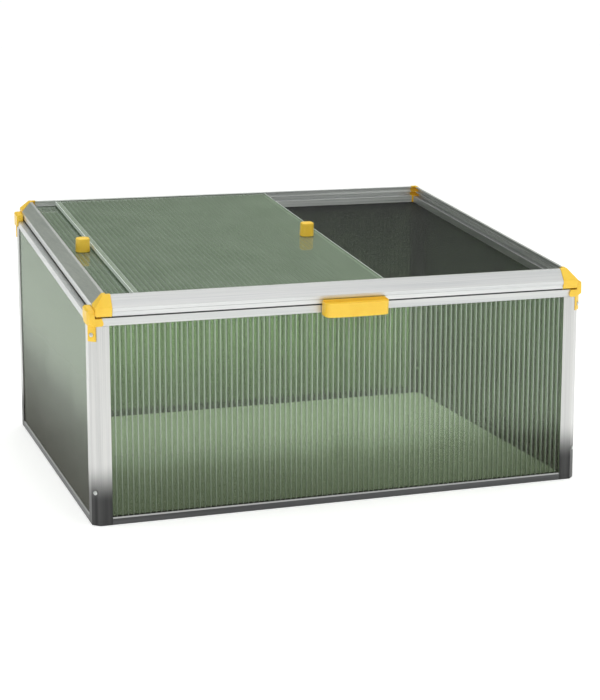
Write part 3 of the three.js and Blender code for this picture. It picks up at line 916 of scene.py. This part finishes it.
def stands_for(
    obj: bpy.types.Object,
    node: str,
    body: str,
    material: bpy.types.Material,
) -> None:
    """Finishes a piece and puts it in the place of a CAD node.

    Args:
        obj: the piece.
        node: the CAD node it replaces.
        body: the body it moves with.
        material: its finish.
    """
    dressed(obj, material)
    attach(obj, body)
    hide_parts(node)
    LOG.info("%s stands for %s on %s", obj.name, node, body)


def outward(corner: str) -> Vector:
    """Gives the level direction that points out of the base at a corner."""
    end, side = corner.split("_")
    return Vector((-1 if side == "left" else 1, -1 if end == "front" else 1, 0)).normalized()


# ---------------------------------------------------------------- sub-assemblies


@dataclass
class Walls:
    """Posts, rails and twin-wall sheets of the base."""

    finishes: Finishes
    edge: float = 0.35 * MM

    def build(self) -> None:
        """Makes every post, rail and sheet."""
        for corner in CORNERS:
            self.bar(f"{corner}_post", self.finishes.bar_z)
        for side in ("front", "rear"):
            self.bar(f"{side}_bottom_rail", self.finishes.low_bar_x)
            self.bar(f"{side}_top_rail", self.finishes.bar_x)
            kept(f"{side}_wall_sheet", self.finishes.wall_x)
        for side in ("left", "right"):
            self.bar(f"{side}_bottom_rail", self.finishes.low_bar_y)
            self.bar(f"{side}_top_rail", self.finishes.bar_y)
            kept(f"{side}_wall_sheet", self.finishes.wall_y)

    def bar(self, node: str, material: bpy.types.Material) -> None:
        """Makes one aluminium bar with broken edges."""
        stands_for(softened(node, self.edge), node, "base", material)


@dataclass
class Lid:
    """Profiles, seals and splines of the lid."""

    finishes: Finishes
    edge: float = 0.5 * MM

    def build(self) -> None:
        """Makes the four profiles and finishes what runs beside them."""
        deep = self.finishes.bar_y
        bars = {"front": self.finishes.bar_x, "rear": self.finishes.rear_bar, "left": deep, "right": deep}
        for side, material in bars.items():
            node = f"lid_{side}_profile"
            stands_for(softened(node, self.edge), node, "lid", material)
            kept(f"{side}_lid_seal", self.finishes.rubber)
            kept(f"{side}_net_spline", self.finishes.rubber)


@dataclass
class InsectNet:
    """Black thread mesh, stretched in the lid under the sliding sheets."""

    finishes: Finishes
    roof: Axes
    pitch: float = 1.6 * MM
    thread: float = 0.5 * MM

    def build(self) -> None:
        low, high = self.roof.extent("insect_net")
        middle = (low.z + high.z) / 2
        shape = bmesh.new()
        for across in self.stations(low.x, high.x):
            self.lay(shape, (across, low.y, middle), (across, high.y, middle + self.thread / 2))
        for along in self.stations(low.y, high.y):
            self.lay(shape, (low.x, along, middle - self.thread / 2), (high.x, along, middle))
        obj = object_from("insect_net_mesh", shape, smooth=False)
        stands_for(obj, "insect_net", "lid", self.finishes.thread)

    def stations(self, start: float, end: float) -> list[float]:
        """Gives the middles of the threads between two edges.

        Args:
            start: the first edge.
            end: the last edge.

        Returns:
            The middles, evenly spaced.
        """
        count = int((end - start) / self.pitch)
        spare = (end - start - count * self.pitch) / 2
        return [start + spare + self.pitch * (index + 0.5) for index in range(count)]

    def lay(self, shape: bmesh.types.BMesh, start: Triple, end: Triple) -> None:
        """Adds one square thread.

        Args:
            shape: the shape that receives it.
            start: its first end, across, along and out of the roof, on its underside.
            end: its other end, on its upper side.
        """
        half = self.thread / 2
        wide, deep = (half, 0.0) if start[0] == end[0] else (0.0, half)
        left, right = start[0] - wide, end[0] + wide
        front, rear = start[1] - deep, end[1] + deep
        outline = ((left, front), (right, front), (right, rear), (left, rear))
        levels = (start[2], end[2])
        lofted(shape, [[self.roof.point(*corner, level) for corner in outline] for level in levels])


@dataclass
class SlidingSheets:
    """The two clear roof sheets with their knobs."""

    finishes: Finishes
    roof: Axes
    roundness: float = 2.7
    top_radius: float = 3.2 * MM
    foot_radius: float = 0.8 * MM
    crown: float = 1.3 * MM
    draft: float = 0.6 * MM
    ring_points: int = 72
    shoulder_rings: int = 6
    crown_rings: Sequence[float] = (0.3, 0.6, 0.85, 0.97)

    def build(self) -> None:
        """Finishes the sheets and makes the knobs."""
        for level, finish in (("upper", self.finishes.upper_roof), ("lower", self.finishes.lower_roof)):
            kept(f"{level}_sliding_sheet", finish)
            self.knob(level)

    def ring(self, centre: Vector, half: Vector, inset: float, height: float) -> list[Vector]:
        """Gives a rounded oblong ring.

        Args:
            centre: its middle, across and along the roof.
            half: its half width and half depth before the inset.
            inset: how far it stands in.
            height: its height out of the roof.

        Returns:
            The ring's points.
        """
        points = []
        for index in range(self.ring_points):
            turn = 2 * math.pi * index / self.ring_points
            across = math.copysign(abs(math.cos(turn)) ** (2 / self.roundness), math.cos(turn))
            along = math.copysign(abs(math.sin(turn)) ** (2 / self.roundness), math.sin(turn))
            points.append(
                self.roof.point(
                    centre.x + across * (half.x - inset),
                    centre.y + along * (half.y - inset),
                    height,
                )
            )
        return points

    def knob(self, level: str) -> None:
        """Makes one crowned knob that stands on its sheet.

        Args:
            level: upper or lower.
        """
        low, high = self.roof.extent(f"{level}_knob")
        centre = (low + high) / 2
        half = (high - low) / 2
        shape = bmesh.new()
        profile = self.profile(low.z, high.z, half.y)
        lofted(shape, [self.ring(centre, half, inset, height) for inset, height in profile])
        obj = object_from(f"{level}_knob_finished", shape)
        stands_for(obj, f"{level}_knob", f"{level}_sheet", self.finishes.yellow)

    def profile(self, foot: float, top: float, half: float) -> list[tuple[float, float]]:
        """Gives a knob's outline from its rounded foot over its shoulder to its crown.

        Args:
            foot: the foot's height.
            top: the crown's height.
            half: the knob's half depth.

        Returns:
            Pairs of inset and height.
        """
        shoulder = top - self.top_radius - self.crown
        outline = [(self.foot_radius, foot), (0.0, foot + self.foot_radius), (self.draft, shoulder)]
        for step in range(1, self.shoulder_rings + 1):
            turn = math.pi / 2 * step / self.shoulder_rings
            inset = self.draft + self.top_radius * (1 - math.cos(turn))
            outline.append((inset, shoulder + self.top_radius * math.sin(turn)))
        edge = self.draft + self.top_radius
        for share in self.crown_rings:
            drop = self.crown * (1 - share) ** 2
            outline.append((edge + (half - edge) * share, top - drop))
        return outline


@dataclass
class YellowFittings:
    """Corner brackets, lid caps and the lifting handle."""

    finishes: Finishes
    roof: Axes
    edge: float = 0.7 * MM
    handle_edge: float = 1.6 * MM
    dish_rim: float = 2.6 * MM
    dish_depth: float = 4.5 * MM
    level_enough: float = 0.99

    def build(self) -> None:
        """Makes every moulded fitting with rounded edges."""
        yellow = self.finishes.yellow
        for corner in CORNERS:
            bracket, cap = f"{corner}_bracket", f"lid_{corner}_cap"
            stands_for(softened(bracket, self.edge, 3), bracket, "base", yellow)
            stands_for(softened(cap, self.edge, 3), cap, "lid", yellow)
        handle = softened("handle", self.handle_edge, 3, self.dish)
        stands_for(handle, "handle", "lid", yellow)

    def dish(self, shape: bmesh.types.BMesh) -> None:
        """Sinks the handle's top inside a rim.

        Args:
            shape: the handle's shape.
        """
        tops = [face for face in shape.faces if face.normal.dot(self.roof.out) > self.level_enough]
        top = max(tops, key=lambda face: face.calc_area())
        bmesh.ops.inset_region(shape, faces=[top], thickness=self.dish_rim)
        for vertex in top.verts:
            vertex.co -= self.roof.out * self.dish_depth


@dataclass
class Screws:
    """Pan-head screws with a cross recess, and the nuts behind them."""

    finishes: Finishes
    roof: Axes
    points: int = 64
    rings: int = 14
    thread_pitch: float = 0.8 * MM
    thread_depth: float = 0.18 * MM
    root_share: float = 0.3
    head_side: float = 0.45
    recess_width: float = 0.9 * MM
    recess_reach: float = 0.62
    recess_depth: float = 0.5
    end_band: float = 0.1 * MM
    head_overhang: float = 1.2

    def build(self) -> None:
        """Makes every screw and finishes the nuts."""
        for corner in CORNERS:
            for place in ("top", "low"):
                self.screw(f"{corner}_{place}_screw", outward(corner), "base")
            kept(f"{corner}_top_nut_plate", self.finishes.zinc)
            kept(f"{corner}_low_nut", self.finishes.zinc)
        for level in ("upper", "lower"):
            self.screw(f"{level}_knob_screw", -self.roof.out, f"{level}_sheet")

    def screw(self, node: str, out: Vector, body: str) -> None:
        """Makes one screw on the axis of its CAD node.

        Args:
            node: the CAD node.
            out: the direction in which its head looks.
            body: the body it moves with.
        """
        side = out.orthogonal().normalized()
        axes = Axes(Vector(), side, out.cross(side), out)
        low, high = axes.extent(node)
        centre = (low + high) / 2
        axes = Axes(axes.point(centre.x, centre.y, 0), axes.across, axes.along, axes.out)
        radii = [self.reach(axes, vertex.co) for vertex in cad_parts[node].data.vertices]
        head_radius = max(radius for radius, _ in radii)
        shank_radius = max(radius for radius, level in radii if level < low.z + self.end_band)
        head_low = min(level for radius, level in radii if radius > self.head_overhang * shank_radius)
        shape = bmesh.new()
        rings = self.shank_rings(axes, shank_radius, low.z, head_low)
        rings += self.head_rings(axes, head_radius, head_low, high.z)
        lofted(shape, rings)
        obj = object_from(f"{node}_finished", shape)
        stands_for(obj, node, body, self.finishes.zinc)

    @staticmethod
    def reach(axes: Axes, point: Vector) -> tuple[float, float]:
        """Measures a point from a screw's axis.

        Args:
            axes: the screw's axes.
            point: the point.

        Returns:
            Its distance from the axis and its level along it.
        """
        local = point - axes.origin
        level = local.dot(axes.out)
        return (local - axes.out * level).length, level

    def circle(self, axes: Axes, radius: float, level: float) -> list[Vector]:
        """Gives a ring round the axis."""
        turns = [2 * math.pi * index / self.points for index in range(self.points)]
        return [axes.point(radius * math.cos(t), radius * math.sin(t), level) for t in turns]

    def shank_rings(self, axes: Axes, radius: float, low: float, high: float) -> list[list[Vector]]:
        """Gives the threaded shank.

        Args:
            axes: the screw's axes.
            radius: the thread's outer radius.
            low: the level of its end.
            high: the level under its head.

        Returns:
            Its rings, from the end to the head.
        """
        rings = [self.circle(axes, radius - 2 * self.thread_depth, low)]
        turns = int((high - low) / self.thread_pitch)
        for turn in range(turns):
            crest = low + (turn + 0.5) * (high - low) / turns
            root = crest - self.root_share * self.thread_pitch
            rings.append(self.circle(axes, radius - self.thread_depth, root))
            rings.append(self.circle(axes, radius, crest))
        rings.append(self.circle(axes, radius - self.thread_depth, high))
        return rings

    def head_rings(self, axes: Axes, radius: float, low: float, high: float) -> list[list[Vector]]:
        """Gives the domed head, whose middle sinks into a cross.

        Args:
            axes: the screw's axes.
            radius: the head's radius.
            low: the level of its underside.
            high: the level of its top.

        Returns:
            Its rings, from the underside to the middle of the top.
        """
        height = high - low
        side = self.head_side * height
        rings = [self.circle(axes, radius, low), self.circle(axes, radius, low + side)]
        for index in range(1, self.rings + 1):
            reach = radius * (1 - index / (self.rings + 1))
            dome = low + side + (height - side) * math.sqrt(1 - (reach / radius) ** 2)
            sunk = dome - self.recess_depth * height
            near_middle = reach < self.recess_reach * radius
            ring = []
            for step in range(self.points):
                turn = 2 * math.pi * step / self.points
                across, along = reach * math.cos(turn), reach * math.sin(turn)
                in_cross = near_middle and min(abs(across), abs(along)) < self.recess_width / 2
                ring.append(axes.point(across, along, sunk if in_cross else dome))
            rings.append(ring)
        return rings


# ---------------------------------------------------------------- studio


@dataclass(frozen=True)
class Softbox:
    """One soft rectangular light that looks at the object's middle."""

    name: str
    place: Triple
    size: tuple[float, float]
    power: float
    aim: Triple = (0.0, 0.0, 0.25)

    def hang(self) -> None:
        """Hangs the light in its place."""
        lamp = bpy.data.lights.new(self.name, "AREA")
        lamp.shape = "RECTANGLE"
        lamp.size, lamp.size_y = self.size
        lamp.energy = self.power
        obj = bpy.data.objects.new(self.name, lamp)
        obj.location = self.place
        ahead = Vector(self.aim) - Vector(self.place)
        obj.rotation_euler = ahead.to_track_quat("-Z", "Y").to_euler()
        bpy.context.scene.collection.objects.link(obj)


SOFTBOXES = (
    Softbox("key_light", (-2.6, -3.4, 3.0), (3.0, 2.4), 46.0),
    Softbox("top_light", (0.4, 0.6, 3.6), (3.4, 3.0), 42.0),
    Softbox("fill_light", (3.6, -1.8, 2.0), (2.4, 2.4), 20.0),
)
SKY = (
    (0.0, (1.0, 1.0, 1.0)),
    (0.04, (0.70, 0.72, 0.70)),
    (0.14, (0.20, 0.24, 0.18)),
    (0.50, (0.27, 0.31, 0.25)),
    (0.72, (0.92, 0.92, 0.92)),
)


@dataclass
class Studio:
    """Pale floor, soft lights, surroundings and the camera."""

    floor_size: float = 60.0
    floor_gap: float = 0.5 * MM
    sky_strength: float = 1.02
    camera_place: Triple = (-1.12710, -3.44014, 1.00243)
    yaw: float = 0.32667
    pitch: float = 0.16847
    lens: float = 85.92
    sensor: float = 36.0
    lift: float = -0.1

    def build(self) -> None:
        """Sets up floor, surroundings, lights and camera."""
        bpy.context.scene.view_settings.view_transform = "Standard"
        self.floor()
        self.surroundings()
        for softbox in SOFTBOXES:
            softbox.hang()
        self.camera()

    def floor(self) -> None:
        """Lays the floor just under the base."""
        shape = bmesh.new()
        bmesh.ops.create_grid(shape, x_segments=8, y_segments=8, size=self.floor_size / 2)
        obj = object_from("studio_floor", shape, smooth=False)
        obj.location.z = CAD_BOX[0].z - self.floor_gap
        dressed(obj, StudioPaint("floor_paint").build())

    def surroundings(self) -> None:
        """Makes a soft sky: white at the horizon, dim green-grey above it and white overhead."""
        world = bpy.data.worlds.new("surroundings")
        world.use_nodes = True
        bpy.context.scene.world = world
        bench = Bench(world.node_tree)
        height = bench.axis(bench.node("ShaderNodeTexCoord", out="Generated"), "Z")
        sky = bench.node("ShaderNodeValToRGB", {"stops": SKY}, {0: height})
        light = bench.node("ShaderNodeBackground", values={"Color": sky, "Strength": self.sky_strength})
        bench.node("ShaderNodeOutputWorld", values={"Surface": light})

    def camera(self) -> None:
        """Places the camera."""
        data = bpy.data.cameras.new("camera")
        data.sensor_width = self.sensor
        data.lens = self.lens
        data.shift_y = self.lift
        obj = bpy.data.objects.new("camera", data)
        level = math.cos(self.pitch)
        ahead = Vector((math.sin(self.yaw) * level, math.cos(self.yaw) * level, -math.sin(self.pitch)))
        obj.location = self.camera_place
        obj.rotation_euler = ahead.to_track_quat("-Z", "Y").to_euler()
        bpy.context.scene.collection.objects.link(obj)
        bpy.context.scene.camera = obj


def main() -> None:
    """Builds the studio and every sub-assembly."""
    logging.basicConfig(level=logging.INFO, format="%(name)s: %(message)s")
    Studio().build()
    finishes = Finishes.mixed()
    roof = roof_axes()
    Walls(finishes).build()
    Lid(finishes).build()
    InsectNet(finishes, roof).build()
    SlidingSheets(finishes, roof).build()
    YellowFittings(finishes, roof).build()
    Screws(finishes, roof).build()


if __name__ == "__main__":
    main()
